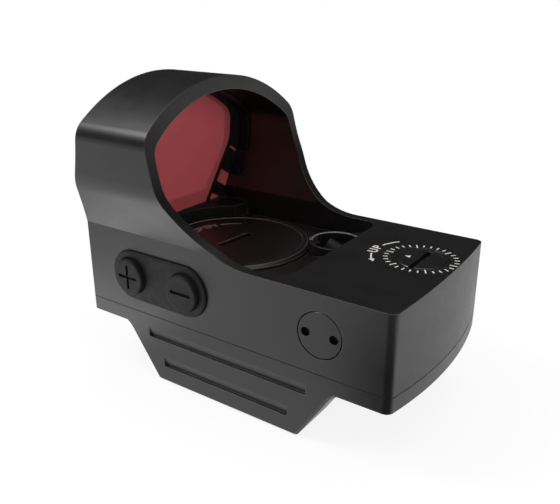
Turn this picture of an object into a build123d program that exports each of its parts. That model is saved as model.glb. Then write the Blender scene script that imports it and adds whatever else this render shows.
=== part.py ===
"""Open reflex red dot sight: a hooded housing, a coin cell under a screw cap, and a rail clamp base.

Millimetres. +Y points at the target, +X to the shooter's right and +Z up.
The origin is the middle of the seat that rests on the flat top of the rail.
"""

import os
from math import atan2, cos, degrees, radians, sin, tan

from build123d import *

# Housing block
BODY_WIDTH = 32.0
REAR_Y = -27.6  # the rear corners; the rear face bows out behind them
FRONT_Y = 27.5
SEAM_Z = 2.4  # joint between the base plate and the housing
DECK_Z = 14.4
REAR_BOW_DECK = 0.75
REAR_BOW_SEAM = 1.9
REAR_CORNER_R = 1.2

# Hood, drawn across the sight in X-Z
HOOD_FOLD_Z = 15.8  # where the sides start to flare
HOOD_TOP_Z = 38.6
FLARE_HALF = 19.15
FLARE_DROP = 15.2
FLARE_Z = HOOD_TOP_Z - FLARE_DROP
FLARE_R = 6.0
SHOULDER_HALF = 18.3
SHOULDER_R = 3.5
HOOD_ARC_R = FLARE_HALF + 8.85
SIDE_WALL = 1.7
TOP_WALL = 2.2

# Hood, seen from the side in Y-Z
RIM_START_Y = -5.2  # where the rim leaves the deck
RIM_TOP_Y = 11.5
# shares of its run and rise
RIM_SHAPE = ((0.431, 0.085), (0.689, 0.248), (0.832, 0.422), (0.934, 0.682))
LEAN_MID_Y = 25.5
LEAN_MID_Z = DECK_Z + 0.405 * (HOOD_TOP_Z - DECK_Z)
LEAN_TOP_Y = 25.0

# Lens and what holds it, on a seat that leans back
LENS_Y = 23.0  # rear face of the lens, at deck height
LENS_LEAN = 5.5  # degrees
LENS_THICK = 2.2
GASKET_THICK = 0.3
LIP_WIDTH = 0.8
LENS_FIT = 0.08
RETAINER_THICK = 0.5
RETAINER_RIM_DEPTH = 2.6
RETAINER_RIM_WALL = 0.6
OPENING_HALF = FLARE_HALF - 4.55
OPENING_BOTTOM_HALF = 8.3
OPENING_SHOULDER_Z = FLARE_Z + 1.6
OPENING_ARC_R = HOOD_ARC_R - 5.5
OPENING_TOP_Z = HOOD_TOP_Z - 3.2
GLUE_WINDOW_COUNT = 3
GLUE_WINDOW_FIRST = 0.9  # along the sloping edge, from its lower end
GLUE_WINDOW_PITCH = 4.8
GLUE_WINDOW_LENGTH = 2.6
GLUE_WINDOW_BAR = 0.4

# Pocket under the hood
POCKET_REAR_Y = -10.4
POCKET_CORNER_R = 3.0
SHELF_Z = 13.4
LEDGE_Z = 13.8  # seat of the lens's lower edge
POCKET_FLOOR_Z = 11.0
RAMP_TOP_Z = 13.0  # the floor slopes down from here at the pocket's rear wall
RAMP_FOOT_Y = -3.9  # to the level of the cap's floor here
RAMP_FRONT_Y = 17.5
RAMP_LEFT_FRONT_Y = 1.5  # shorter on the left, behind the key pocket

# Battery cap and coin cell
CAP_Y = 9.5
CAP_R = BODY_WIDTH / 2 - 3.2  # clear of the key pocket
POCKET_FLOOR_R = CAP_R + 0.4
CAP_TOP_Z = 11.7
CAP_FLANGE = 1.3
CAP_RIM_WIDTH = 1.3
CAP_RIM_CHAMFER = 0.45
CAP_FACE_DROP = 0.15
CAP_NECK_R = CAP_R - 1.4
CAP_NECK_Z = 8.6
CAP_FIT = 0.1
CAP_SEAT_GAP = 0.2
COIN_SLOT_LENGTH = 8.0
COIN_SLOT_WIDTH = 1.4
COIN_SLOT_DEPTH = 1.1
COIN_SLOT_TURN = -4.0
SEAL_THICK = 0.56
CHAMBER_FLOOR_Z = 4.0
CELL_R = CAP_R - 2.8
CELL_HEIGHT = 3.2
CELL_CUP_FLOOR = 0.4
CELL_CUP_WALL = 0.7
CELL_CUP_HEIGHT = 3.9
CONTACT_THICK = 0.5
CELL_CLEARANCE = 0.05

# Brightness keys on the left side
PAD_Y = 12.0
PAD_Z = 8.7
PAD_HALF_LENGTH = 9.65
PAD_HALF_HEIGHT = 4.12
PAD_PROUD = 0.5
PAD_WALL = 0.6
PAD_FACE = 0.9
PAD_FIT = 0.05
PAD_POCKET_DEPTH = 2.5
KEY_R = 2.95
KEY_FIT = 0.1
KEY_PROUD = 0.9  # past the pad
KEY_FLANGE_R = 3.35
KEY_FLANGE = 0.4
KEY_PLUNGER_R = 1.0
KEY_TRAVEL = 0.4
DOME_R = 2.0
DOME_HEIGHT = 0.35
SWITCH_BOARD = 0.6

# Windage and elevation adjusters
ELEVATION_X = 3.2
ELEVATION_Y = -22.64
WINDAGE_Y = -17.0
WINDAGE_Z = 8.4
DIAL_RECESS_R = 4.5
DIAL_RECESS = 0.2
SCREW_HEAD_R = 3.65
SCREW_HEAD = 1.3
SCREW_SET_BACK = 0.1
SCREW_BORE_FIT = 0.07
SCREW_SLOT_WIDTH = 0.9
SCREW_SLOT_DEPTH = 0.8
SCREW_NECK_R = 2.3
SCREW_NECK_END = 3.15  # below the face
SCREW_SHAFT_R = 1.2
RUNNING_FIT = 0.04
ADJUSTER_SEAL = 0.5
CLICK_RING_R = 3.0
CLICK_COUNT = 30
CLICK_CREST_R = 2.45
CLICK_ROOT_R = 2.62
CLICK_BALL_R = 0.4
CLIP_R = 2.2
CLIP_THICK = 0.45
CLIP_GROOVE_R = 0.9
CLIP_GAP = 0.12

# Mechanism chamber under the deck, open at the seam
CHAMBER_WALL = 4.5
CHAMBER_HALF = BODY_WIDTH / 2 - CHAMBER_WALL
CHAMBER_REAR_Y = -25.4
CHAMBER_FRONT_Y = -5.2
CHAMBER_TOP_Z = 10.6
ROD_R = 0.75
ROD_OFFSET = 3.0
ROD_END_GAP = 0.45  # between a rod's end and the windage click ring
CARRIAGE_LEFT_X = -4.5
CARRIAGE_RIGHT_X = 7.2
CARRIAGE_REAR_Y = -21.3
CARRIAGE_FRONT_Y = -12.7
CARRIAGE_BOTTOM_Z = 6.2
CARRIAGE_TOP_Z = 9.8
WINDAGE_NUT_R = 1.9
WINDAGE_NUT_LENGTH = 6.0
TONGUE_HEAD_HALF = 1.6
TONGUE_NECK_HALF = 0.8
TONGUE_NECK = 1.1
TONGUE_HEAD = 1.0
TONGUE_FIT = 0.06
LEVER_BOTTOM_Z = 3.6
LEVER_THICK = 1.2
LEVER_NUT_THICK = 1.7
LEVER_NUT_HALF = 2.3
LEVER_HALF = 1.5
LEVER_PIN_R = 0.6
LEVER_PIN_Y = -18.0
ADJUST_TRAVEL = 0.375

# Emitter
EMITTER_X = 5.0
EMITTER_Y = -7.3
WELL_R = 3.8
WELL_WALL = 0.55  # collar round the well
WELL_NOTCH_HALF = 1.2
WELL_NOTCH_Z = 12.0
EMITTER_BLOCK_HALF = 3.2
EMITTER_BLOCK_REAR_Y = -12.5
EMITTER_BLOCK_FRONT_Y = -5.6
EMITTER_BLOCK_TOP_Z = 9.0
EMITTER_GAP = 0.03
TOWER_R = 2.1
TOWER_TOP_Z = 10.9
TUBE_R = 1.5
TUBE_LENGTH = 3.4
TUBE_Z = 11.6
TUBE_BORE_R = 1.15
TUBE_BORE = 1.6
WINDOW_THICK = 0.4
LED_SIZE = 1.1
LED_THICK = 0.4
AIM_Z = DECK_Z + 0.417 * (HOOD_TOP_Z - DECK_Z)  # height on the lens that the emitter points at

# Springs
WINDAGE_SPRING_R = 1.6
WINDAGE_SPRING_TURNS = 5
WINDAGE_SPRING_WIRE_R = 0.36
LEAF_LENGTH = 5.6
LEAF_WIDTH = 0.95
LEAF_THICK = 0.22
LEAF_FOOT = 0.42
SPRING_GAP = 0.03  # left at the end of the travel

# Spring plug on the left side, opposite the windage screw
PLUG_R = 3.46
PLUG_HEAD = 2.1
PLUG_SHANK_R = 2.0
PLUG_FIT = 0.05
PLUG_SEAL = 0.3
PLUG_PIN_OFFSET = 2.2
PLUG_PIN_R = 0.7
PLUG_PIN_DEPTH = 1.0

# Electronics
BOARD_THICK = 0.8
BOARD_PAD = 0.3
BOARD_EDGE_GAP = 0.3
BOARD_LEFT_X = BOARD_EDGE_GAP - CHAMBER_HALF
BOARD_RIGHT_X = CARRIAGE_LEFT_X - 0.8
BOARD_REAR_Y = -24.9
BOARD_FRONT_Y = -5.6
# y, width, length and height of each chip
CHIPS = ((-9.0, 4.0, 4.0, 0.9), (-14.5, 2.0, 2.0, 0.8), (-18.5, 3.0, 3.0, 1.4), (-22.5, 4.2, 1.8, 1.2))

# Accessory rail, MIL-STD-1913
RAIL_WIDTH = 21.2
RAIL_WAIST = 15.67
RAIL_WIDEST_DROP = 2.74
RAIL_SLOT = 5.23
RAIL_SLOT_PITCH = 10.01
RAIL_FIT = 0.1

# Base plate and jaws
JAW_BOTTOM_Z = -9.16
JAW_REAR_TOP_Y = -19.4
JAW_FRONT_TOP_Y = 20.0
JAW_HALF_BOTTOM = 13.5
JAW_CORNER_R = 0.9
JAW_ROOT_R = 3.2  # hollow fillet between a jaw and the plate
JAW_BOTTOM_CHAMFER = 0.4
FLUTE_DEPTH = 0.45
FLUTE_HEIGHT = 1.7
FLUTE_LINES = ((-1.55, 15.0), (-6.2, 12.0))  # lower edge and half-length of each finger flute
JAW_FLANGE_HALF = 16.0
JAW_FIT = 0.1
LUG_LENGTH = 5.0
LUG_DROP = 2.9
LUG_SEAT = 0.8
BOLT_R = 1.45
BOLT_DROP = 1.5
BOLT_HEAD_R = 2.7
BOLT_HEAD = 1.8
BOLT_HEAD_SUNK = 0.15
BOLT_HOLE_FIT = 0.08
BOLT_END_X = -14.4
BOLT_HEX = 2.5
BOLT_HEX_DEPTH = 1.1
GUIDE_PIN_R = 0.6
GUIDE_PIN_Y = 4.0
GUIDE_PIN_Z = 1.2
GUIDE_PIN_INNER_X = 9.0
GUIDE_PIN_OUTER_X = 15.4
PLATE_SCREW_R = 1.0
PLATE_SCREW_HEAD_R = 1.9
PLATE_SCREW_HEAD = 1.3
PLATE_SCREW_TOP_Z = 8.0
PLATE_SCREW_INSET_Y = 3.0
PLATE_SCREW_REAR_X = BODY_WIDTH / 2 - 2.25
PLATE_SCREW_FRONT_X = BODY_WIDTH / 2 - 3.2
GASKET_SEAT = 0.3
GASKET_INNER_GAP = 0.1
GASKET_WIDTH = 0.9
# The plate stops here beside the loose jaw
PLATE_STEP_X = CHAMBER_HALF + GASKET_INNER_GAP + GASKET_WIDTH + 0.45

HALF = BODY_WIDTH / 2
FAR = 60.0  # past every outer face


# Shared drawing helpers


def along_y(face, start, end):
    """Extrude a face drawn in X-Z from y = start to y = end."""
    return extrude(Plane((0, end, 0), x_dir=(1, 0, 0), z_dir=(0, -1, 0)) * face, amount=end - start)


def along_x(face, start, end):
    """Extrude a face drawn in Y-Z from x = start to x = end."""
    return extrude(Plane((start, 0, 0), x_dir=(0, 1, 0), z_dir=(1, 0, 0)) * face, amount=end - start)


def along_z(face, bottom, top):
    """Extrude a face drawn in X-Y from z = bottom to z = top."""
    return extrude(Pos(0, 0, bottom) * face, amount=top - bottom)


def block(low, high):
    """A box between two corners."""
    size = [b - a for a, b in zip(low, high)]
    middle = [(a + b) / 2 for a, b in zip(low, high)]
    return Pos(*middle) * Box(*size)


def rod(radius, bottom, top):
    """A round bar about the local Z axis."""
    return Pos(0, 0, (bottom + top) / 2) * Cylinder(radius, top - bottom)


def ring(outer, inner, bottom, top):
    return rod(outer, bottom, top) - rod(inner, bottom - 1, top + 1)


def mirrored_polygon(right_side):
    """A closed outline from the points of its right half, lowest first."""
    left_side = [(-x, y) for x, y in reversed(right_side)]
    return Polygon(*right_side, *left_side, align=None)


def coil(radius, wire, bottom, top, turns):
    """A compression spring about the local Z axis."""
    height = top - bottom - 2 * wire
    path = Pos(0, 0, bottom + wire) * Helix(height / turns, height, radius - wire)
    section = Plane(path @ 0, z_dir=path % 0) * Circle(wire)
    return sweep(section, path)


# Frames in which the adjusters, keys and lens are drawn

ELEVATION_FACE = Plane((ELEVATION_X, ELEVATION_Y, DECK_Z), x_dir=(1, 0, 0), z_dir=(0, 0, 1))
WINDAGE_FACE = Plane((HALF, WINDAGE_Y, WINDAGE_Z), x_dir=(0, 1, 0), z_dir=(1, 0, 0))
PLUG_FACE = Plane((-HALF, WINDAGE_Y, WINDAGE_Z), x_dir=(0, -1, 0), z_dir=(-1, 0, 0))
PAD_FACE_PLANE = Plane((-HALF, PAD_Y, PAD_Z), x_dir=(0, -1, 0), z_dir=(-1, 0, 0))
KEY_OFFSET = PAD_HALF_LENGTH - PAD_HALF_HEIGHT
LEAN = radians(LENS_LEAN)
LENS_SEAT = Plane((0, LENS_Y, DECK_Z), x_dir=(1, 0, 0), z_dir=(0, -cos(LEAN), -sin(LEAN)))
CAP_AXIS = Pos(0, CAP_Y, 0)
CHAMBER_WEB = DECK_Z - CHAMBER_TOP_Z
WINDAGE_WEB = HALF - CHAMBER_HALF


# Housing


def body_plan(bow):
    """The block's plan, with a rear face that bows out by the given amount."""
    sides = Polyline((-HALF, REAR_Y), (-HALF, FRONT_Y), (HALF, FRONT_Y), (HALF, REAR_Y))
    rear = ThreePointArc((HALF, REAR_Y), (0, REAR_Y - bow), (-HALF, REAR_Y))
    return make_face([sides, rear])


def round_rear_corners(solid):
    upright = [
        edge
        for edge in solid.edges()
        if at_rear_corner(edge @ 0) and at_rear_corner(edge @ 1) and edge.bounding_box().size.Z > 1
    ]
    return fillet(upright, REAR_CORNER_R)


def at_rear_corner(point):
    return abs(point.Y - REAR_Y) < 0.01


def hood_section(side_inset, top_inset, bottom):
    """The hood's outline in X-Z, drawn in from its outer skin."""
    top = HOOD_TOP_Z + 1
    outline = mirrored_polygon(
        [
            (HALF - side_inset, bottom),
            (HALF - side_inset, HOOD_FOLD_Z),
            (FLARE_HALF - side_inset, FLARE_Z),
            (SHOULDER_HALF - side_inset, top),
        ]
    )
    section = outline & Pos(0, HOOD_TOP_Z - HOOD_ARC_R) * Circle(HOOD_ARC_R - top_inset)
    section = fillet(section.vertices().sort_by(Axis.Y)[4:6], FLARE_R)
    return fillet(section.vertices().sort_by(Axis.Y)[-2:], SHOULDER_R)


def rim_cut():
    """What the swept rim leaves away: all of the hood above and behind it."""
    top = HOOD_TOP_Z + 1
    run, rise = RIM_TOP_Y - RIM_START_Y, HOOD_TOP_Z - DECK_Z
    between = [(RIM_START_Y + along * run, DECK_Z + up * rise) for along, up in RIM_SHAPE]
    rim = Spline((RIM_START_Y, DECK_Z), *between, (RIM_TOP_Y, top), tangents=((1, 0), (0.1, 1)))
    back = Polyline(rim @ 1, (RIM_START_Y - 1, top), (RIM_START_Y - 1, DECK_Z), rim @ 0)
    return along_x(make_face([rim, back]), -FAR, FAR)


def lean_cut():
    """What the leaning front face leaves away above the block."""
    top = HOOD_TOP_Z + 1
    front = ThreePointArc((FRONT_Y, HOOD_FOLD_Z), (LEAN_MID_Y, LEAN_MID_Z), (LEAN_TOP_Y, top))
    ahead = Polyline(front @ 1, (FRONT_Y + 5, top), (FRONT_Y + 5, HOOD_FOLD_Z), front @ 0)
    return along_x(make_face([front, ahead]), -FAR, FAR)


def behind_lens(front):
    """Everything on the shooter's side of a plane parallel to the lens seat."""
    return LENS_SEAT * Pos(0, 0, front + FAR / 2) * Box(2 * FAR, 3 * FAR, FAR)


def pocket_plan(front_y):
    """The pocket's plan from its rounded rear corners to y = front_y."""
    plan = Pos(0, (POCKET_REAR_Y + front_y) / 2) * Rectangle(2 * (HALF - SIDE_WALL), front_y - POCKET_REAR_Y)
    return fillet(plan.vertices().sort_by(Axis.Y)[:2], POCKET_CORNER_R)


def ramp_cut():
    """The room above the sloping floor behind the cap, round the emitter's collar."""
    slope = Polygon(
        (POCKET_REAR_Y - 1, RAMP_TOP_Z),
        (POCKET_REAR_Y, RAMP_TOP_Z),
        (RAMP_FOOT_Y, POCKET_FLOOR_Z),
        (RAMP_FRONT_Y, POCKET_FLOOR_Z),
        (RAMP_FRONT_Y, SHELF_Z),
        (POCKET_REAR_Y - 1, SHELF_Z),
        align=None,
    )
    room = along_x(slope, -HALF, HALF) & along_z(pocket_plan(RAMP_FRONT_Y), POCKET_FLOOR_Z - 1, SHELF_Z)
    room -= block((-HALF, RAMP_LEFT_FRONT_Y, 0), (0, FAR, FAR))
    return room - Pos(EMITTER_X, EMITTER_Y) * rod(WELL_R + WELL_WALL, POCKET_FLOOR_Z - 1, SHELF_Z)


def pocket_cut():
    """The room under the hood, from the rear shelf to the lens."""
    room = along_z(pocket_plan(CAP_Y + POCKET_FLOOR_R), SHELF_Z, HOOD_FOLD_Z) + ramp_cut()
    inside = along_y(hood_section(SIDE_WALL, TOP_WALL, LEDGE_Z), RIM_START_Y, FAR)
    room += inside & behind_lens(-LENS_THICK - GASKET_THICK)
    room += CAP_AXIS * rod(POCKET_FLOOR_R, POCKET_FLOOR_Z, SHELF_Z + 1)
    window = hood_section(SIDE_WALL + LIP_WIDTH, TOP_WALL + LIP_WIDTH, LEDGE_Z + LIP_WIDTH)
    room += along_y(window, CAP_Y, FAR)
    return room


def battery_cut():
    """Threaded chamber for the cell, with a step for the cap's seal."""
    seat_z = CAP_TOP_Z - CAP_FLANGE - SEAL_THICK - 2 * CELL_CLEARANCE
    chamber = rod(CAP_NECK_R + CAP_FIT, CHAMBER_FLOOR_Z, seat_z + 1)
    return CAP_AXIS * (chamber + rod(CAP_R + CAP_SEAT_GAP, seat_z, POCKET_FLOOR_Z + 1))


def emitter_cut():
    """The well that the emitter stands in, open towards the lens."""
    well = Pos(EMITTER_X, EMITTER_Y) * rod(WELL_R, CHAMBER_TOP_Z - 1, SHELF_Z)
    notch_low = (EMITTER_X - WELL_NOTCH_HALF, EMITTER_Y, WELL_NOTCH_Z)
    notch_high = (EMITTER_X + WELL_NOTCH_HALF, EMITTER_Y + WELL_R + 2 * WELL_WALL, SHELF_Z)
    return well + block(notch_low, notch_high)


def adjuster_cut(web):
    """Stepped bore for one adjuster, in the frame of its face."""
    bore = rod(DIAL_RECESS_R, -DIAL_RECESS, 1)
    bore += rod(SCREW_HEAD_R + SCREW_BORE_FIT, -seal_floor(), 1)
    bore += rod(CLICK_RING_R, -SCREW_NECK_END, 0)
    return bore + rod(SCREW_SHAFT_R + SCREW_BORE_FIT, -web - 1, 0)


def seal_floor():
    """Depth of the step that an adjuster's seal lies on."""
    return SCREW_SET_BACK + SCREW_HEAD + ADJUSTER_SEAL + 0.05


def chamber_cut():
    low = (-CHAMBER_HALF, CHAMBER_REAR_Y, SEAM_Z - 1)
    high = (CHAMBER_HALF, CHAMBER_FRONT_Y, CHAMBER_TOP_Z)
    return block(low, high)


def rods(radius, reach):
    """The two rods that the windage carriage slides on, or their holes."""
    bars = [
        Plane((0, WINDAGE_Y + side * ROD_OFFSET, WINDAGE_Z), z_dir=(1, 0, 0)) * rod(radius, -reach, reach)
        for side in (-1, 1)
    ]
    return Compound(children=bars)


def rod_reach():
    return HALF - SCREW_NECK_END - ROD_END_GAP


def plug_cut():
    head = rod(PLUG_R + PLUG_FIT, -PLUG_HEAD - PLUG_SEAL, 1)
    return PLUG_FACE * (head + rod(PLUG_SHANK_R + PLUG_FIT, -(HALF - CHAMBER_HALF) - 1, 0))


def pad_outline(inset):
    return SlotOverall(2 * (PAD_HALF_LENGTH - inset), 2 * (PAD_HALF_HEIGHT - inset))


def pad_cut():
    pocket = extrude(pad_outline(-PAD_FIT), amount=PAD_POCKET_DEPTH + 1)
    return PAD_FACE_PLANE * Pos(0, 0, -PAD_POCKET_DEPTH) * pocket


def plate_screw_spots():
    """Plan positions of the four screws that hold the base plate."""
    rear, front = REAR_Y + PLATE_SCREW_INSET_Y, FRONT_Y - PLATE_SCREW_INSET_Y
    return [
        (side * x, y)
        for side in (-1, 1)
        for x, y in ((PLATE_SCREW_REAR_X, rear), (PLATE_SCREW_FRONT_X, front))
    ]


def housing():
    seam = Pos(0, 0, SEAM_Z) * body_plan(REAR_BOW_SEAM)
    deck = Pos(0, 0, DECK_Z) * body_plan(REAR_BOW_DECK)
    shell = round_rear_corners(loft([seam, deck], ruled=True))
    shell += along_y(hood_section(0, 0, DECK_Z - 1), RIM_START_Y, FRONT_Y) - rim_cut() - lean_cut()
    shell -= pocket_cut()
    shell -= battery_cut()
    shell -= emitter_cut()
    shell -= chamber_cut()
    shell -= ELEVATION_FACE * adjuster_cut(CHAMBER_WEB)
    shell -= WINDAGE_FACE * adjuster_cut(WINDAGE_WEB)
    shell -= plug_cut()
    shell -= pad_cut()
    for bar in rods(ROD_R + PLUG_FIT, rod_reach()).children:
        shell -= bar
    for x, y in plate_screw_spots():
        shell -= Pos(x, y) * rod(PLATE_SCREW_R, SEAM_Z - 1, PLATE_SCREW_TOP_Z)
    return shell


# Lens


def opening(grow):
    """The clear opening that the retainer leaves, in X-Z."""
    slope = mirrored_polygon(
        [
            (OPENING_BOTTOM_HALF + grow, LEDGE_Z - 1),
            (OPENING_BOTTOM_HALF + grow, LEDGE_Z),
            (OPENING_HALF + grow, OPENING_SHOULDER_Z),
            (OPENING_HALF + grow, OPENING_TOP_Z + 1),
        ]
    )
    arch = Pos(0, OPENING_TOP_Z - OPENING_ARC_R) * Circle(OPENING_ARC_R + grow)
    outline = slope & arch
    outline = fillet(outline.vertices().sort_by(Axis.Y)[4:6], FLARE_R)
    return fillet(outline.vertices().sort_by(Axis.Y)[-2:], SHOULDER_R)


def lens_slab(front, rear, gap):
    """A slice of the hood's inside parallel to the lens seat."""
    inside = hood_section(SIDE_WALL + gap, TOP_WALL + gap, LEDGE_Z + gap)
    slab = LENS_SEAT * Pos(0, 0, (front + rear) / 2) * Box(2 * FAR, 2 * FAR, rear - front)
    return along_y(inside, CAP_Y, FRONT_Y) & slab


def lens():
    return lens_slab(-LENS_THICK, 0, LENS_FIT)


def lens_gasket():
    sheet = lens_slab(-LENS_THICK - GASKET_THICK, -LENS_THICK, LENS_FIT)
    inner = hood_section(SIDE_WALL + LIP_WIDTH, TOP_WALL + LIP_WIDTH, LEDGE_Z + LIP_WIDTH)
    return sheet - along_y(inner, CAP_Y, FAR)


def glue_windows():
    """Slots across the sloping edges through which the lens is bonded."""
    run, rise = OPENING_HALF - OPENING_BOTTOM_HALF, OPENING_SHOULDER_Z - LEDGE_Z
    turn = degrees(atan2(rise, run))
    depth = 2 * FLARE_R
    slots = []
    for index in range(GLUE_WINDOW_COUNT):
        centre = GLUE_WINDOW_FIRST + index * GLUE_WINDOW_PITCH
        slot = Pos(centre, -GLUE_WINDOW_BAR - depth / 2) * Rectangle(GLUE_WINDOW_LENGTH, depth)
        slot = Pos(OPENING_BOTTOM_HALF, LEDGE_Z) * Rot(0, 0, turn) * slot
        slots += [slot, mirror(slot, Plane.YZ)]
    return slots


def lens_retainer():
    """Stepped frame behind the lens, open at the bottom, with glue windows in its legs."""
    plate = lens_slab(0, RETAINER_THICK, LENS_FIT)
    rim = lens_slab(0, RETAINER_RIM_DEPTH, LENS_FIT)
    rim -= lens_slab(-1, RETAINER_RIM_DEPTH + 1, RETAINER_RIM_WALL)
    floor_cut = block((-FAR, 0, 0), (FAR, FAR, LEDGE_Z + RETAINER_RIM_WALL))
    frame = plate - along_y(opening(0), CAP_Y, FAR)
    frame += rim - floor_cut
    for slot in glue_windows():
        frame -= along_y(slot, CAP_Y, FAR)
    return max(frame.solids(), key=lambda piece: piece.volume)


# Battery


def battery_cap():
    top = rod(CAP_R, CAP_TOP_Z - CAP_FLANGE, CAP_TOP_Z)
    top = chamfer(top.edges().group_by(Axis.Z)[-1], CAP_RIM_CHAMFER)
    cap = top + rod(CAP_NECK_R, CAP_NECK_Z, CAP_TOP_Z - CAP_FLANGE)
    cap -= rod(CAP_R - CAP_RIM_WIDTH, CAP_TOP_Z - CAP_FACE_DROP, CAP_TOP_Z + 1)
    face_z = CAP_TOP_Z - CAP_FACE_DROP
    slot = Rot(0, 0, COIN_SLOT_TURN) * SlotOverall(COIN_SLOT_LENGTH, COIN_SLOT_WIDTH)
    return CAP_AXIS * (cap - along_z(slot, face_z - COIN_SLOT_DEPTH, face_z + 1))


def cap_seal():
    top_z = CAP_TOP_Z - CAP_FLANGE - CELL_CLEARANCE
    return CAP_AXIS * ring(CAP_R - CAP_FIT, CAP_NECK_R + 2 * CAP_FIT, top_z - SEAL_THICK, top_z)


def cell_bottom():
    return CHAMBER_FLOOR_Z + CELL_CUP_FLOOR + CONTACT_THICK


def cap_contact():
    """Sprung disc under the cap that meets the cell's can."""
    low = cell_bottom() + CELL_HEIGHT + CELL_CLEARANCE
    disc = ring(CELL_R * 0.6, CELL_R * 0.2, low, CAP_NECK_Z)
    return CAP_AXIS * disc


def coin_cell():
    foot = rod(CELL_R - 1.0, cell_bottom(), cell_bottom() + 0.5)
    can = rod(CELL_R, cell_bottom() + 0.5, cell_bottom() + CELL_HEIGHT)
    can = fillet(can.edges().group_by(Axis.Z)[-1], 0.4)
    return CAP_AXIS * (foot + can)


def cell_cup():
    outer = CELL_R + CELL_CLEARANCE + CELL_CUP_WALL
    floor_top = CHAMBER_FLOOR_Z + CELL_CUP_FLOOR
    cup = rod(outer, CHAMBER_FLOOR_Z, CHAMBER_FLOOR_Z + CELL_CUP_HEIGHT)
    return CAP_AXIS * (cup - rod(CELL_R + CELL_CLEARANCE, floor_top, floor_top + CELL_HEIGHT * 2))


def cell_contact():
    """Three-armed leaf under the cell."""
    low = CHAMBER_FLOOR_Z + CELL_CUP_FLOOR
    hub = rod(CELL_R * 0.25, low, low + CONTACT_THICK)
    for turn in (90, 210, 330):
        arm = Pos(CELL_R * 0.4, 0, low + CONTACT_THICK / 2) * Box(CELL_R * 0.8, CELL_R * 0.16, CONTACT_THICK)
        hub += Rot(0, 0, turn) * arm
    return CAP_AXIS * hub


# Brightness keys


def button_pad():
    """Rubber frame round the two keys, hollow behind its face."""
    depth = PAD_POCKET_DEPTH - SWITCH_BOARD
    pad = extrude(pad_outline(0), amount=PAD_PROUD + depth)
    pad = fillet(pad.edges().group_by(Axis.Z)[-1], 0.3)
    pad = Pos(0, 0, -depth) * pad
    room = extrude(pad_outline(PAD_WALL), amount=depth + PAD_PROUD - PAD_FACE)
    pad -= Pos(0, 0, -depth) * room
    for side in (-1, 1):
        pad -= Pos(side * KEY_OFFSET) * rod(KEY_R + KEY_FIT, -depth, PAD_PROUD + 1)
    return PAD_FACE_PLANE * pad


def key(side):
    """One key: a raised round face, a flange behind the pad and a plunger."""
    back = PAD_PROUD - PAD_FACE - KEY_FIT
    face = rod(KEY_R, back - KEY_FLANGE, PAD_PROUD + KEY_PROUD)
    face = fillet(face.edges().group_by(Axis.Z)[-1], 0.25)
    plunger_end = -(PAD_POCKET_DEPTH - SWITCH_BOARD - DOME_HEIGHT - KEY_TRAVEL - KEY_FIT)
    solid = face + rod(KEY_FLANGE_R, back - KEY_FLANGE, back) + rod(KEY_PLUNGER_R, plunger_end, back)
    return PAD_FACE_PLANE * Pos(side * KEY_OFFSET) * solid


def switch_board():
    board = extrude(pad_outline(PAD_FIT), amount=SWITCH_BOARD)
    return PAD_FACE_PLANE * Pos(0, 0, -PAD_POCKET_DEPTH) * board


def dome_switches():
    """Snap domes under the keys."""
    base = -(PAD_POCKET_DEPTH - SWITCH_BOARD)
    domes = []
    for side in (-1, 1):
        dome = rod(DOME_R, base, base + DOME_HEIGHT)
        dome = chamfer(dome.edges().group_by(Axis.Z)[-1], DOME_HEIGHT * 0.8, DOME_R * 0.5)
        domes.append(PAD_FACE_PLANE * Pos(side * KEY_OFFSET) * dome)
    return domes


# Adjusters, each drawn in the frame of its face


def adjuster_screw(reach, web):
    """Slotted head, sealing neck and long fine screw, with a groove for its clip."""
    head = rod(SCREW_HEAD_R, -SCREW_SET_BACK - SCREW_HEAD, -SCREW_SET_BACK)
    head = chamfer(head.edges().group_by(Axis.Z)[-1], 0.15)
    solid = head + rod(SCREW_NECK_R, -SCREW_NECK_END + 0.05, -SCREW_SET_BACK - SCREW_HEAD)
    solid += rod(SCREW_SHAFT_R, -reach, -SCREW_NECK_END + 0.05)
    slot_z = -SCREW_SET_BACK - SCREW_SLOT_DEPTH / 2 + 0.05
    solid -= Pos(0, 0, slot_z) * Box(3 * SCREW_HEAD_R, SCREW_SLOT_WIDTH, SCREW_SLOT_DEPTH + 0.1)
    solid -= ring(SCREW_SHAFT_R + 1, CLIP_GROOVE_R, -clip_top(web) - CLIP_THICK - 0.04, -clip_top(web) + 0.04)
    return solid - Pos(0, 0, ball_level()) * Rot(0, 90, 0) * rod(CLICK_BALL_R + 0.03, 0.6, SCREW_NECK_R + 1)


def clip_top(web):
    return web + CLIP_GAP


def ball_level():
    return -(seal_floor() + SCREW_NECK_END) / 2


def detent(level):
    """Click ball and the spring behind it, in the screw's cross hole."""
    ball_x = CLICK_CREST_R - 0.05 - CLICK_BALL_R
    ball = Pos(ball_x, 0, level) * Sphere(CLICK_BALL_R)
    spring = Pos(0, 0, level) * Rot(0, 90, 0) * rod(CLICK_BALL_R - 0.1, 0.62, ball_x - CLICK_BALL_R)
    return [ball, spring]


def clip(web):
    top = -clip_top(web)
    plate = ring(CLIP_R, CLIP_GROOVE_R + 0.03, top - CLIP_THICK, top)
    mouth = Pos(-CLIP_R, 0, top - CLIP_THICK / 2) * Box(2 * CLIP_R, 1.5 * CLIP_GROOVE_R, 2 * CLIP_THICK)
    return plate - mouth


def click_ring():
    """Serrated ring that the click ball rides in."""
    top, bottom = -seal_floor() - 0.02, -SCREW_NECK_END
    points = []
    for index in range(2 * CLICK_COUNT):
        radius = CLICK_ROOT_R if index % 2 else CLICK_CREST_R
        angle = radians(180 / CLICK_COUNT * index)
        points.append((radius * cos(angle), radius * sin(angle)))
    teeth = along_z(Polygon(*points, align=None), bottom - 1, top + 1)
    return rod(CLICK_RING_R - 0.02, bottom, top) - teeth


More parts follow.
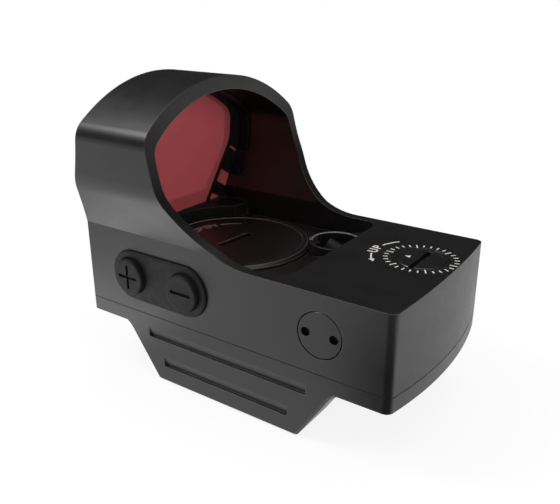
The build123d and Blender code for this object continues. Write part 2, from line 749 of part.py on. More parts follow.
def adjuster_seal():
    top = -SCREW_SET_BACK - SCREW_HEAD - 0.03
    return ring(SCREW_HEAD_R, SCREW_NECK_R + RUNNING_FIT, top - ADJUSTER_SEAL, top)


# Mechanism


def windage_carriage():
    """Slide on two rods, with a tee-headed tongue that guides the emitter block."""
    low = (CARRIAGE_LEFT_X, CARRIAGE_REAR_Y, CARRIAGE_BOTTOM_Z)
    high = (CARRIAGE_RIGHT_X, CARRIAGE_FRONT_Y, CARRIAGE_TOP_Z)
    body = block(low, high) + tongue(0)
    for bar in rods(ROD_R + RUNNING_FIT, CHAMBER_HALF).children:
        body -= bar
    axis = Plane((0, WINDAGE_Y, WINDAGE_Z), z_dir=(1, 0, 0))
    body -= axis * rod(SCREW_SHAFT_R + RUNNING_FIT, CARRIAGE_LEFT_X - 1, CARRIAGE_RIGHT_X + 1)
    nut_start = CARRIAGE_RIGHT_X - WINDAGE_NUT_LENGTH
    return body - axis * rod(WINDAGE_NUT_R, nut_start, CARRIAGE_RIGHT_X + 1)


def tongue(fit):
    """The carriage's vertical tee, or the slot for it when fit is given."""
    front = CARRIAGE_FRONT_Y + TONGUE_NECK
    reach = 1 if fit else 0
    low_z, high_z = CARRIAGE_BOTTOM_Z - 4 * reach, CARRIAGE_TOP_Z + 4 * reach
    neck_half, head_half = TONGUE_NECK_HALF + fit, TONGUE_HEAD_HALF + fit
    neck_low = (EMITTER_X - neck_half, CARRIAGE_FRONT_Y - reach, low_z)
    neck = block(neck_low, (EMITTER_X + neck_half, front + fit, high_z))
    head_low = (EMITTER_X - head_half, front - fit, low_z)
    head_high = (EMITTER_X + head_half, front + TONGUE_HEAD + fit, high_z)
    return neck + block(head_low, head_high)


def windage_nut():
    axis = Plane((0, WINDAGE_Y, WINDAGE_Z), z_dir=(1, 0, 0))
    start = CARRIAGE_RIGHT_X - WINDAGE_NUT_LENGTH
    return axis * ring(WINDAGE_NUT_R, SCREW_SHAFT_R + RUNNING_FIT, start, CARRIAGE_RIGHT_X)


def elevation_lever():
    """Nut on the elevation screw with an arm that carries the emitter block."""
    low = (ELEVATION_X - LEVER_NUT_HALF, ELEVATION_Y - LEVER_NUT_HALF, LEVER_BOTTOM_Z)
    high = (ELEVATION_X + LEVER_NUT_HALF, ELEVATION_Y + LEVER_NUT_HALF, LEVER_BOTTOM_Z + LEVER_NUT_THICK)
    arm_low = (ELEVATION_X - LEVER_HALF, ELEVATION_Y, LEVER_BOTTOM_Z)
    arm_high = (EMITTER_X + LEVER_HALF, EMITTER_BLOCK_FRONT_Y, LEVER_BOTTOM_Z + LEVER_THICK)
    lever = block(low, high) + block(arm_low, arm_high)
    lever -= Pos(ELEVATION_X, ELEVATION_Y) * rod(SCREW_SHAFT_R + RUNNING_FIT, 0, DECK_Z)
    return lever - Pos(ELEVATION_X, LEVER_PIN_Y) * rod(LEVER_PIN_R + RUNNING_FIT, 0, DECK_Z)


def lever_pin():
    return Pos(ELEVATION_X, LEVER_PIN_Y) * rod(LEVER_PIN_R, SEAM_Z / 2, CARRIAGE_BOTTOM_Z - 0.3)


def tube_axis():
    """Frame of the emitter tube: its Z axis points at the middle of the lens."""
    lens_y = LENS_Y - (AIM_Z - DECK_Z) * tan(LEAN)
    aim = Vector(-EMITTER_X, lens_y - EMITTER_Y, AIM_Z - TUBE_Z)
    return Plane((EMITTER_X, EMITTER_Y, TUBE_Z), z_dir=aim.normalized())


def emitter_block():
    """Sliding block with a tower and a tube that looks up at the lens."""
    bottom = LEVER_BOTTOM_Z + LEVER_THICK + EMITTER_GAP
    low = (EMITTER_X - EMITTER_BLOCK_HALF, EMITTER_BLOCK_REAR_Y, bottom)
    high = (EMITTER_X + EMITTER_BLOCK_HALF, EMITTER_BLOCK_FRONT_Y, EMITTER_BLOCK_TOP_Z)
    body = block(low, high) - tongue(TONGUE_FIT)
    body += Pos(EMITTER_X, EMITTER_Y) * rod(TOWER_R, EMITTER_BLOCK_TOP_Z - 0.5, TOWER_TOP_Z)
    body += tube_axis() * rod(TUBE_R, -TUBE_LENGTH / 2, TUBE_LENGTH / 2)
    return body - tube_axis() * rod(TUBE_BORE_R, TUBE_LENGTH / 2 - TUBE_BORE, TUBE_LENGTH)


def emitter_window():
    front = TUBE_LENGTH / 2 - 0.2
    return tube_axis() * rod(TUBE_BORE_R, front - WINDOW_THICK, front)


def led_emitter():
    bottom = TUBE_LENGTH / 2 - TUBE_BORE
    return tube_axis() * Pos(0, 0, bottom + LED_THICK / 2) * Box(LED_SIZE, LED_SIZE, LED_THICK)


def windage_spring():
    """Takes up the windage screw's play, between the carriage and the spring plug."""
    axis = Plane((0, WINDAGE_Y, WINDAGE_Z), z_dir=(1, 0, 0))
    start = -CHAMBER_HALF + ADJUST_TRAVEL + SPRING_GAP
    return axis * coil(WINDAGE_SPRING_R, WINDAGE_SPRING_WIRE_R, start, CARRIAGE_LEFT_X, WINDAGE_SPRING_TURNS)


def elevation_spring():
    """Bowed leaf that presses the emitter block down on its lever."""
    rear, front = EMITTER_BLOCK_REAR_Y + 0.2, EMITTER_BLOCK_REAR_Y + LEAF_LENGTH
    foot, top = EMITTER_BLOCK_TOP_Z, CHAMBER_TOP_Z - ADJUST_TRAVEL - SPRING_GAP
    middle = (rear + front) / 2
    over = ThreePointArc((rear, foot), (middle, top), (front, foot))
    under = ThreePointArc((rear + LEAF_FOOT, foot), (middle, top - LEAF_THICK), (front - LEAF_FOOT, foot))
    feet = [Line(over @ 0, under @ 0), Line(over @ 1, under @ 1)]
    start = EMITTER_X - EMITTER_BLOCK_HALF + 0.1
    return along_x(make_face([over, under, *feet]), start, start + LEAF_WIDTH)


def spring_plug():
    """Spanner-driven plug that closes the windage spring's bore."""
    head = rod(PLUG_R, -PLUG_HEAD, 0)
    head = chamfer(head.edges().group_by(Axis.Z)[-1], 0.15)
    plug = head + rod(PLUG_SHANK_R, -(HALF - CHAMBER_HALF), -PLUG_HEAD)
    for side in (-1, 1):
        plug -= Pos(side * PLUG_PIN_OFFSET) * rod(PLUG_PIN_R, -PLUG_PIN_DEPTH, 1)
    return PLUG_FACE * plug


def plug_seal():
    return PLUG_FACE * ring(PLUG_R - 0.1, PLUG_SHANK_R + 0.1, -PLUG_HEAD - PLUG_SEAL, -PLUG_HEAD)


# Electronics


def driver_board():
    low_z = SEAM_Z + BOARD_PAD
    return block((BOARD_LEFT_X, BOARD_REAR_Y, low_z), (BOARD_RIGHT_X, BOARD_FRONT_Y, low_z + BOARD_THICK))


def board_pad():
    return block((BOARD_LEFT_X, BOARD_REAR_Y, SEAM_Z), (BOARD_RIGHT_X, BOARD_FRONT_Y, SEAM_Z + BOARD_PAD))


def board_chips():
    """Controller, regulator, coil and connector on the driver board."""
    top_z = SEAM_Z + BOARD_PAD + BOARD_THICK
    middle_x = (BOARD_LEFT_X + BOARD_RIGHT_X) / 2
    return [
        Pos(middle_x, y, top_z + height / 2) * Box(width, length, height)
        for y, width, length, height in CHIPS
    ]


# Base plate, jaws and fasteners


def jaw_side():
    """The jaw's outline in Y-Z, below the plate, which it meets in hollow fillets."""
    outline = Polygon(
        (REAR_Y, 1),
        (REAR_Y, 0),
        (JAW_REAR_TOP_Y, 0),
        (-JAW_HALF_BOTTOM, JAW_BOTTOM_Z),
        (JAW_HALF_BOTTOM, JAW_BOTTOM_Z),
        (JAW_FRONT_TOP_Y, 0),
        (FRONT_Y, 0),
        (FRONT_Y, 1),
        align=None,
    )
    outline = fillet(outline.vertices().sort_by(Axis.Y)[:2], JAW_CORNER_R)
    roots = [corner for corner in outline.vertices() if corner.X in (JAW_REAR_TOP_Y, JAW_FRONT_TOP_Y)]
    outline = fillet(roots, JAW_ROOT_R)
    return outline - Pos(0, 0.5) * Rectangle(FAR * 2, 1)


def jaw_block(side):
    """One jaw before its details, with its outer lower edge chamfered."""
    jaw = along_x(jaw_side(), min(0, side * HALF), max(0, side * HALF))
    lower_outer = jaw.edges().filter_by(Axis.Y).group_by(Axis.Z)[0].sort_by(Axis.X)[-1 if side > 0 else 0]
    return chamfer(lower_outer, JAW_BOTTOM_CHAMFER) - along_y(rail_groove(RAIL_FIT), -FAR, FAR)


def rail_groove(fit):
    """The room that the rail's head and waist need, in X-Z."""
    widest, waist = RAIL_WIDTH / 2 + fit, RAIL_WAIST / 2 + fit
    waist_z = -RAIL_WIDEST_DROP - (widest - waist)
    return mirrored_polygon(
        [(waist, JAW_BOTTOM_Z - 1), (waist, waist_z), (widest, -RAIL_WIDEST_DROP), (widest, 0)]
    )


def flutes(side):
    """Finger grips: each runs in from flush at its top to a ledge along its lower line."""
    cuts = []
    for lower_z, half_length in FLUTE_LINES:
        wedge = Polygon(
            (HALF, lower_z + FLUTE_HEIGHT),
            (HALF - FLUTE_DEPTH, lower_z),
            (HALF + 1, lower_z),
            (HALF + 1, lower_z + FLUTE_HEIGHT),
            align=None,
        )
        cut = along_y(wedge, -half_length, half_length)
        cuts.append(cut if side > 0 else mirror(cut, Plane.YZ))
    return cuts


def bolt_axes():
    """Frames of the two cross bolts, which lie in two of the rail's slots."""
    return [Plane((0, side * RAIL_SLOT_PITCH, -BOLT_DROP), z_dir=(1, 0, 0)) for side in (-1, 1)]


def mount_base():
    """Plate under the housing, in one piece with the fixed left jaw."""
    plate = round_rear_corners(along_z(body_plan(REAR_BOW_SEAM), 0, SEAM_Z))
    base = plate + jaw_block(-1)
    for cut in flutes(-1):
        base -= cut
    step = JAW_FLANGE_HALF + JAW_FIT
    base -= block((PLATE_STEP_X, -step, -1), (HALF + 1, step, SEAM_Z + 1))
    base -= block((-RAIL_WAIST / 2, -LUG_LENGTH / 2, -1), (RAIL_WAIST / 2, LUG_LENGTH / 2, LUG_SEAT))
    base -= gasket_frame(SEAM_Z - GASKET_SEAT, SEAM_Z + 1)
    for axis in bolt_axes():
        base -= axis * rod(BOLT_R + RUNNING_FIT, BOLT_END_X - 0.3, -RAIL_WAIST / 2)
    for side in (-1, 1):
        pin = Plane((0, side * GUIDE_PIN_Y, GUIDE_PIN_Z), z_dir=(1, 0, 0))
        base -= pin * rod(GUIDE_PIN_R, GUIDE_PIN_INNER_X, HALF)
    for x, y in plate_screw_spots():
        shank = rod(PLATE_SCREW_R + 0.1, -1, SEAM_Z + 1)
        base -= Pos(x, y) * (shank + rod(PLATE_SCREW_HEAD_R + 0.1, -1, PLATE_SCREW_HEAD))
    return base - Pos(ELEVATION_X, LEVER_PIN_Y) * rod(LEVER_PIN_R, SEAM_Z / 2, SEAM_Z + 1)


def clamp_jaw():
    """Loose right jaw, with a flange that covers the edge of the plate."""
    below = jaw_block(1) - block((0, -FAR, -JAW_FIT), (HALF, FAR, 1))
    flange_low = (PLATE_STEP_X + JAW_FIT, -JAW_FLANGE_HALF, -JAW_FIT - 1)
    jaw = below + block(flange_low, (HALF, JAW_FLANGE_HALF, SEAM_Z - JAW_FIT))
    for cut in flutes(1)[1:]:
        jaw -= cut
    for axis in bolt_axes():
        jaw -= axis * rod(BOLT_R + BOLT_HOLE_FIT, 0, FAR)
        jaw -= axis * rod(BOLT_HEAD_R + BOLT_HOLE_FIT, HALF - BOLT_HEAD_SUNK - BOLT_HEAD, FAR)
    for side in (-1, 1):
        pin = Plane((0, side * GUIDE_PIN_Y, GUIDE_PIN_Z), z_dir=(1, 0, 0))
        jaw -= pin * rod(GUIDE_PIN_R + 0.05, PLATE_STEP_X, GUIDE_PIN_OUTER_X + 0.1)
    return jaw


def clamp_bolt(axis):
    """Cross bolt: hex-socket head in the loose jaw, thread in the fixed one."""
    head_end = HALF - BOLT_HEAD_SUNK
    head = rod(BOLT_HEAD_R, head_end - BOLT_HEAD + 0.02, head_end)
    head = chamfer(head.edges().group_by(Axis.Z)[-1], 0.2)
    bolt = head + rod(BOLT_R, BOLT_END_X, head_end - BOLT_HEAD + 0.02)
    socket = RegularPolygon(BOLT_HEX / 2, 6, major_radius=False)
    return axis * (bolt - along_z(socket, head_end - BOLT_HEX_DEPTH, head_end + 1))


def guide_pins():
    """Dowels in the plate that keep the loose jaw square."""
    return [
        Plane((0, side * GUIDE_PIN_Y, GUIDE_PIN_Z), z_dir=(1, 0, 0))
        * rod(GUIDE_PIN_R, GUIDE_PIN_INNER_X, GUIDE_PIN_OUTER_X)
        for side in (-1, 1)
    ]


def recoil_lug():
    lug = block(
        (-RAIL_WAIST / 2 + 0.02, -LUG_LENGTH / 2 + 0.02, -LUG_DROP),
        (RAIL_WAIST / 2 - 0.02, LUG_LENGTH / 2 - 0.02, LUG_SEAT),
    )
    return chamfer(lug.edges().group_by(Axis.Z)[0], 0.3)


def gasket_frame(bottom, top):
    """Ring in the plate's top, just outside the mechanism chamber."""
    inner = GASKET_INNER_GAP
    outer = inner + GASKET_WIDTH

    def around(margin):
        low = (-CHAMBER_HALF - margin, CHAMBER_REAR_Y - margin, bottom)
        return block(low, (CHAMBER_HALF + margin, CHAMBER_FRONT_Y + margin, top))

    return around(outer) - around(inner)


def plate_screws():
    """Screws from beneath that hold the plate to the housing."""
    screws = []
    for x, y in plate_screw_spots():
        head = rod(PLATE_SCREW_HEAD_R, 0.1, PLATE_SCREW_HEAD)
        shank = rod(PLATE_SCREW_R - 0.02, PLATE_SCREW_HEAD, PLATE_SCREW_TOP_Z - 0.2)
        socket = RegularPolygon(0.75, 6, major_radius=False)
        screws.append(Pos(x, y) * (head + shank - along_z(socket, 0, 0.8)))
    return screws


def save(name, *solids):
    """Write one named piece, or one group of like pieces, as its own file."""
    whole = solids[0] if len(solids) == 1 else Compound(children=list(solids))
    export_step(whole, f"parts/{name}.step")


def main():
    os.makedirs("parts", exist_ok=True)
    save("housing", housing())
    save("lens", lens())
    save("lens_gasket", lens_gasket())
    save("lens_retainer", lens_retainer())
    save("battery_cap", battery_cap())
    save("cap_seal", cap_seal())
    save("cap_contact", cap_contact())
    save("coin_cell", coin_cell())
    save("cell_cup", cell_cup())
    save("cell_contact", cell_contact())
    save("button_pad", button_pad())
    save("minus_key", key(1))
    save("plus_key", key(-1))
    save("switch_board", switch_board())
    save("dome_switches", *dome_switches())
    for name, face, reach, web in (
        ("elevation", ELEVATION_FACE, DECK_Z - SEAM_Z - 0.6, CHAMBER_WEB),
        ("windage", WINDAGE_FACE, HALF - CARRIAGE_LEFT_X - 1.0, WINDAGE_WEB),
    ):
        save(f"{name}_screw", face * adjuster_screw(reach, web))
        save(f"{name}_detent", *[face * piece for piece in detent(ball_level())])
        save(f"{name}_clip", face * clip(web))
        save(f"{name}_click_ring", face * click_ring())
        save(f"{name}_seal", face * adjuster_seal())
    save("carriage_rods", *rods(ROD_R, rod_reach()).children)
    save("windage_carriage", windage_carriage())
    save("windage_nut", windage_nut())
    save("windage_spring", windage_spring())
    save("elevation_lever", elevation_lever())
    save("lever_pin", lever_pin())
    save("emitter_block", emitter_block())
    save("emitter_window", emitter_window())
    save("led_emitter", led_emitter())
    save("elevation_spring", elevation_spring())
    save("spring_plug", spring_plug())
    save("plug_seal", plug_seal())
    save("driver_board", driver_board())
    save("board_pad", board_pad())
    save("board_chips", *board_chips())
    save("mount_base", mount_base())
    save("base_gasket", gasket_frame(SEAM_Z - GASKET_SEAT, SEAM_Z))
    save("recoil_lug", recoil_lug())
    save("clamp_jaw", clamp_jaw())
    for number, axis in enumerate(bolt_axes(), start=1):
        save(f"clamp_bolt_{number}", clamp_bolt(axis))
    save("guide_pins", *guide_pins())
    save("plate_screws", *plate_screws())


main()
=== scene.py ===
"""Looks of the red dot sight: materials, some with painted highlight and shade, marks, carved keys, painted
window shadow, floor, light and camera.
"""

import math

import bmesh
import bpy
from mathutils import Matrix, Vector
from mathutils.geometry import convex_hull_2d


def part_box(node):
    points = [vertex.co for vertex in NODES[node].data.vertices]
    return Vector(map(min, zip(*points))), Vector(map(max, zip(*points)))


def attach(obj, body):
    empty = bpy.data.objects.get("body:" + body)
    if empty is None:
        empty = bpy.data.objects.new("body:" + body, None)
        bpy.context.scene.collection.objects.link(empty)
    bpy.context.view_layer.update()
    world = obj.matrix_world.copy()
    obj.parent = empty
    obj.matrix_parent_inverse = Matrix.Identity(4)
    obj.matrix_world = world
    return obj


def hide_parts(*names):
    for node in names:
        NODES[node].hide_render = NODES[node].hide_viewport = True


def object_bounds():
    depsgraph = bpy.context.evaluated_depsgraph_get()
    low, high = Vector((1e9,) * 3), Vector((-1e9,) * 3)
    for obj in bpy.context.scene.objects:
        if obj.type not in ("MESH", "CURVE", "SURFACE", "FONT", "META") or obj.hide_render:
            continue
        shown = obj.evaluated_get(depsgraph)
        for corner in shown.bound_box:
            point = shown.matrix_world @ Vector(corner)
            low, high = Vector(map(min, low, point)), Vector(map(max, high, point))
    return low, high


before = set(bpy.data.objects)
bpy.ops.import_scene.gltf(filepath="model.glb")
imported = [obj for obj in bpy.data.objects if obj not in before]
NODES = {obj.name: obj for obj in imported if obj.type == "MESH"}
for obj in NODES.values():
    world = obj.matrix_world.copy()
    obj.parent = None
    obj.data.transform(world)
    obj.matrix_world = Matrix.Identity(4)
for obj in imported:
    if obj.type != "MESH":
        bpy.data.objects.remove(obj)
CAD_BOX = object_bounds()
MM = 0.001

QUARTER = math.radians(90.0)

# Points nearer than this are one point, in metres
SAME_POINT = 1e-6
SAME_LETTER_POINT = 1e-7

# Camera: angles in degrees, its place, lens and sensor in millimetres, its clipping in metres
CAMERA_AZIMUTH = -55.743
CAMERA_ELEVATION = 21.353
CAMERA_ROLL = 0.298
CAMERA_AT = (-82.74, -56.10, 50.46)
CAMERA_LENS = 42.37
CAMERA_SENSOR = 36.0
CAMERA_FROM = 0.001
CAMERA_TO = 20.0

# Studio: levels of brightness, and places in metres
ROOM_LEVEL = 0.8
FLOOR_REACH = 14.0
FLOOR_BELOW = 0.00002
FLOOR_DARK = 0.86
FLOOR_LIGHT = 0.90
FLOOR_FADE = (0.03, 0.16)
FLOOR_GLOW = (0.86, 1.0)
LAMP_AIM = (0.0, 0.0, 0.012)
FLOOR_LAMP_ABOVE = 0.0003

# Dark stage pieces: colours, places in metres and angles in degrees
CLOTH_DARK = (0.02, 0.02, 0.02)
CLOTH_LIGHT = (0.04, 0.04, 0.04)
PANEL_REACH = 0.9
PANEL_LOW = 3.0
PANEL_HIGH = 56.0
PANEL_COUNT = 12
CLOTH_AT = (-0.056, -0.050)
CLOTH_R = 0.044
CLOTH_ABOVE = 0.0005
CLOTH_SIDES = 24

# Seam between block and plate, in millimetres
SEAM_HEIGHT = 0.14
SEAM_PROUD = 0.012
SEAM_SUNK = 0.1

# Lip of the collar round the emitter, in millimetres and degrees
LIP_R = 4.07
LIP_WIDTH = 0.5
LIP_RISE = 0.14
LIP_START = -60.0
LIP_END = 120.0
LIP_STEPS = 48
WELL_Y = -7.3
WELL_TOP_Z = 13.4

# Painted shadow in the legs of the lens frame, as black pieces, in millimetres. LEG is a leg's foot and shoulder,
# in X and in height above the deck; the painted shadow's place is given along the leg and outwards from it.
LEG = ((8.3, -0.6), (14.6, 10.6))
WINDOW_SHADOW_FROM = 9.2
WINDOW_SHADOW_TO = 11.35
WINDOW_SHADOW_IN = 0.35
WINDOW_SHADOW_OUT = 4.6
WINDOW_SHADOW_THICK = 0.36
LENS_REAR_Y = 23.0
LENS_LEAN = math.radians(5.5)

# Rims of the pin holes in the plug, in millimetres
PIN_REACH = 2.2
RIM_R = 0.73
RIM_SIZE = 0.06
RIM_RISE = 0.5
RIM_STEPS = 24

# Marks, in millimetres and degrees. CAP_RIM_RISE is the cap's rim above the face with its word, ARROW_OVERLAP how
# far an arrow's head starts inside its band, and FONT_CAPITAL a capital's height as a share of the font's size.
DECK_HEIGHT = 14.4
CAP_RIM_RISE = 0.15
MARK_THICK = 0.03
MARK_SUNK = 0.01
TICK_COUNT = 30
TICK_FIRST = 30.0
TICK_LONG_EVERY = 5
TICK_OUTER_R = 5.55
TICK_LONG = 1.15
TICK_SHORT = 0.72
TICK_WIDTH = 0.2
ARC_STEPS = 14
ARROW_WIDTH = 0.24
ARROW_HALF = 0.45
ARROW_LENGTH = 7.5
ARROW_OVERLAP = 0.5
LEGEND_R = 7.3
LEGEND_HEIGHT = 1.5
CAP_LEGEND_R = 8.3
CAP_LEGEND_HEIGHT = 1.6
CAP_ARROW_FROM = 30.0
CAP_ARROW_TO = 51.5
CAP_ARROW_WIDTH = ARROW_WIDTH * 1.1
CAP_ARROW_LENGTH = 6.0
INDEX_FORWARD = 2.1
INDEX_OUTLINE = ((-0.4, -0.38), (0.4, -0.38), (0.0, 0.44))
FONT_CAPITAL = 0.73
LETTER_SWELL = 0.03
LETTER_STEPS = 6

# Signs carved in the keys, in millimetres
KEY_SIGN = 3.9
KEY_SIGN_WIDTH = 0.52
KEY_SIGN_DEPTH = 0.38
KEY_CUTTER_OUT = 1.0

# Anodised finish: its roughness, its speckle against its grain, and the cosine past which no edge gets wear or
# painted highlight
ANODISED_ROUGH = (0.355, 0.425)
SPECKLE_SHARE = 0.45
RUB_AND_HIGHLIGHT_ENDS = 0.985
BEVEL_SAMPLES = 6


# ---------------------------------------------------------------- shader nodes


def add_node(tree, kind, **inputs):
    """A new shader node, with inputs set by name, where _ stands for a space."""
    node = tree.nodes.new("ShaderNode" + kind)
    for name, value in inputs.items():
        node.inputs[name.replace("_", " ")].default_value = value
    return node


def add_maths(tree, kind, first, second):
    node = add_node(tree, "Math")
    node.operation = kind
    tree.links.new(first, node.inputs[0])
    tree.links.new(second, node.inputs[1])
    return node.outputs["Value"]


def add_spread(tree, source, low, high, start, end):
    """Maps a value from start..end to low..high."""
    node = add_node(tree, "MapRange", From_Min=start, From_Max=end, To_Min=low, To_Max=high)
    tree.links.new(source, node.inputs["Value"])
    return node.outputs["Result"]


class Finish:
    """A Principled material and short calls that add nodes to it."""

    def __init__(self, name, **sockets):
        self.mat = bpy.data.materials.new(name)
        self.mat.use_nodes = True
        self.tree = self.mat.node_tree
        self.bsdf = self.tree.nodes["Principled BSDF"]
        for key, value in sockets.items():
            self.bsdf.inputs[key.replace("_", " ")].default_value = value
        self.place = add_node(self.tree, "TexCoord").outputs["Object"]

    def link(self, source, target):
        self.tree.links.new(source, target)

    def noise(self, scale, detail=3.0, rough=0.55, stretch=None):
        node = add_node(self.tree, "TexNoise", Scale=scale, Detail=detail, Roughness=rough)
        source = self.place
        if stretch:
            mapping = add_node(self.tree, "Mapping", Scale=stretch)
            self.link(source, mapping.inputs["Vector"])
            source = mapping.outputs["Vector"]
        self.link(source, node.inputs["Vector"])
        return node.outputs["Fac"]

    def spread(self, source, low, high, start=0.35, end=0.65):
        """Maps a texture from start..end, by default where most of a noise lies, to low..high."""
        return add_spread(self.tree, source, low, high, start, end)

    def mix(self, factor, first, second):
        """Mixes two colours, each of them three numbers or an output."""
        node = add_node(self.tree, "Mix")
        node.data_type = "RGBA"
        self.link(factor, node.inputs["Factor"])
        for name, value in (("A", first), ("B", second)):
            socket = [s for s in node.inputs if s.name == name and s.type == "RGBA"][0]
            if isinstance(value, tuple):
                socket.default_value = (*value, 1.0)
            else:
                self.link(value, socket)
        return [s for s in node.outputs if s.type == "RGBA"][0]

    def maths(self, kind, first, second):
        return add_maths(self.tree, kind, first, second)

    def rounded(self, radius):
        """A normal that rounds the edges; radius is in millimetres."""
        node = add_node(self.tree, "Bevel", Radius=radius * MM)
        node.samples = BEVEL_SAMPLES
        return node.outputs["Normal"]

    def edges(self, radius, start, end):
        """0 on a flat face, 1 on an edge or a corner; start and end are cosines of the turn of the normal."""
        geometry = add_node(self.tree, "NewGeometry")
        dot = add_node(self.tree, "VectorMath")
        dot.operation = "DOT_PRODUCT"
        self.link(geometry.outputs["Normal"], dot.inputs[0])
        self.link(self.rounded(radius), dot.inputs[1])
        return self.spread(dot.outputs["Value"], 1.0, 0.0, start, end)

    def bump(self, height, strength, depth, under=None):
        """A bump as deep as depth in millimetres, over another normal if there is one."""
        node = add_node(self.tree, "Bump", Strength=strength, Distance=depth * MM)
        self.link(height, node.inputs["Height"])
        if under is not None:
            self.link(under, node.inputs["Normal"])
        return node.outputs["Normal"]

    def surface(self, colour, roughness=None, normal=None):
        for socket, source in (("Base Color", colour), ("Roughness", roughness), ("Normal", normal)):
            if source is not None:
                self.link(source, self.bsdf.inputs[socket])
        return self.mat


# ---------------------------------------------------------------- materials


def anodised(name, dark, light, worn_and_highlight, grain=5200.0, edge=0.16, sharp=0.80):
    """Black anodised aluminium, bead blasted, lighter within edge millimetres of its edges: part wear, part
    painted highlight.

    sharp is the cosine of the turn at which the wear and painted highlight are full, so near 1 even a soft edge
    gets them.
    """
    finish = Finish(name, IOR=1.60)
    clouds = finish.noise(210.0, detail=4.0)
    speckle = finish.noise(grain * SPECKLE_SHARE, detail=2.0, rough=0.7)
    body = finish.mix(finish.spread(clouds, 0.0, 1.0), dark, light)
    # Lighter edges: partly rubbed wear, partly a painted highlight for the light that rounded edges catch.
    edges = finish.edges(edge, start=sharp, end=RUB_AND_HIGHLIGHT_ENDS)
    rub_and_highlight = finish.maths("MULTIPLY", edges, finish.spread(speckle, 0.25, 1.0, start=0.3, end=0.6))
    colour = finish.mix(rub_and_highlight, body, worn_and_highlight)
    both = finish.maths("ADD", clouds, speckle)
    roughness = finish.spread(both, *ANODISED_ROUGH, start=0.75, end=1.25)
    fine = finish.noise(grain, detail=2.0, rough=0.6)
    normal = finish.bump(fine, strength=0.35, depth=0.012, under=finish.rounded(edge))
    return finish.surface(colour, roughness, normal)


def rubber(name, dark, light):
    """Dull moulded rubber with a little dust."""
    finish = Finish(name, IOR=1.5, Specular_IOR_Level=0.32)
    dust = finish.noise(700.0, detail=5.0, rough=0.65)
    colour = finish.mix(finish.spread(dust, 0.0, 1.0), dark, light)
    fine = finish.noise(3800.0)
    roughness = finish.spread(dust, 0.52, 0.68)
    normal = finish.bump(fine, strength=0.4, depth=0.015, under=finish.rounded(0.12))
    return finish.surface(colour, roughness, normal)


def metal(name, colour, tarnish, rough=0.28):
    """Bare metal, brushed in one direction and tarnished in patches."""
    finish = Finish(name, Metallic=1.0)
    streak = finish.noise(1500.0, rough=0.6, stretch=(1.0, 1.0, 9.0))
    stain = finish.noise(420.0, detail=4.0)
    shade = finish.mix(finish.spread(stain, 0.0, 1.0, start=0.4, end=0.7), colour, tarnish)
    roughness = finish.spread(streak, rough, rough + 0.16)
    normal = finish.bump(streak, strength=0.3, depth=0.006, under=finish.rounded(0.06))
    return finish.surface(shade, roughness, normal)


def plastic(name, dark, light, rough=0.4, grain=3000.0, **sockets):
    """Moulded plastic with a fine grain."""
    finish = Finish(name, IOR=1.49, **sockets)
    cloud = finish.noise(600.0)
    fine = finish.noise(grain, detail=2.0)
    shade = finish.mix(finish.spread(cloud, 0.0, 1.0), dark, light)
    roughness = finish.spread(fine, rough, rough + 0.12)
    normal = finish.bump(fine, strength=0.25, depth=0.008, under=finish.rounded(0.08))
    return finish.surface(shade, roughness, normal)


def coated_glass(name, tint, haze):
    """A coated lens, only partly clear, with faint smears in its dull red coat."""
    finish = Finish(name, IOR=1.12, Transmission_Weight=0.38)
    smear = finish.noise(260.0, detail=5.0, rough=0.6, stretch=(1.0, 2.5, 1.0))
    shade = finish.mix(finish.spread(smear, 0.0, 1.0), tint, haze)
    return finish.surface(shade, finish.spread(smear, 0.02, 0.09))


def clear_glass(name):
    """Clear glass with faint smears."""
    finish = Finish(name, IOR=1.5, Transmission_Weight=1.0)
    smear = finish.noise(900.0, detail=4.0)
    shade = finish.mix(finish.spread(smear, 0.0, 1.0), (0.85, 0.88, 0.88), (0.95, 0.96, 0.96))
    return finish.surface(shade, finish.spread(smear, 0.02, 0.08))


def paint(name, colour, faded):
    """Filled paint in a mark, chipped a little."""
    finish = Finish(name, IOR=1.5)
    chips = finish.noise(5200.0, rough=0.7)
    shade = finish.mix(finish.spread(chips, 0.0, 1.0, start=0.5, end=0.68), colour, faded)
    roughness = finish.spread(chips, 0.45, 0.65)
    return finish.surface(shade, roughness, finish.bump(chips, strength=0.3, depth=0.01))


def circuit(name):
    """Dark green solder resist over copper tracks."""
    finish = Finish(name, IOR=1.5, Coat_Weight=0.3)
    tracks = add_node(
        finish.tree, "TexBrick", Scale=420.0, Mortar_Size=0.05,
        Color1=(0.006, 0.05, 0.022, 1.0), Color2=(0.008, 0.06, 0.026, 1.0), Mortar=(0.02, 0.11, 0.05, 1.0),
    )
    finish.link(finish.place, tracks.inputs["Vector"])
    grain = finish.noise(2600.0, detail=2.0)
    roughness = finish.spread(grain, 0.25, 0.4)
    return finish.surface(tracks.outputs["Color"], roughness, finish.bump(grain, strength=0.2, depth=0.01))


def dress(material, *names):
    """Gives CAD nodes their material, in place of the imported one."""
    for name in names:
        mesh = NODES[name].data
        mesh.materials.clear()
        mesh.materials.append(material)


# The body's lighter edges are partly wear, partly a painted highlight for its thin light edge lines.
HOUSING = anodised(
    "anodised_body", dark=(0.0046, 0.0043, 0.0043), light=(0.0062, 0.0058, 0.0057), worn_and_highlight=(0.058, 0.056, 0.055)
)
# The cap's light, reddish edges are mostly a painted highlight for the bright ring lines round its rim.
CAP_BLACK = anodised(
    "anodised_cap", dark=(0.0050, 0.0042, 0.0041), light=(0.0068, 0.0056, 0.0055), worn_and_highlight=(0.17, 0.15, 0.14),
    edge=0.13, sharp=0.965,
)
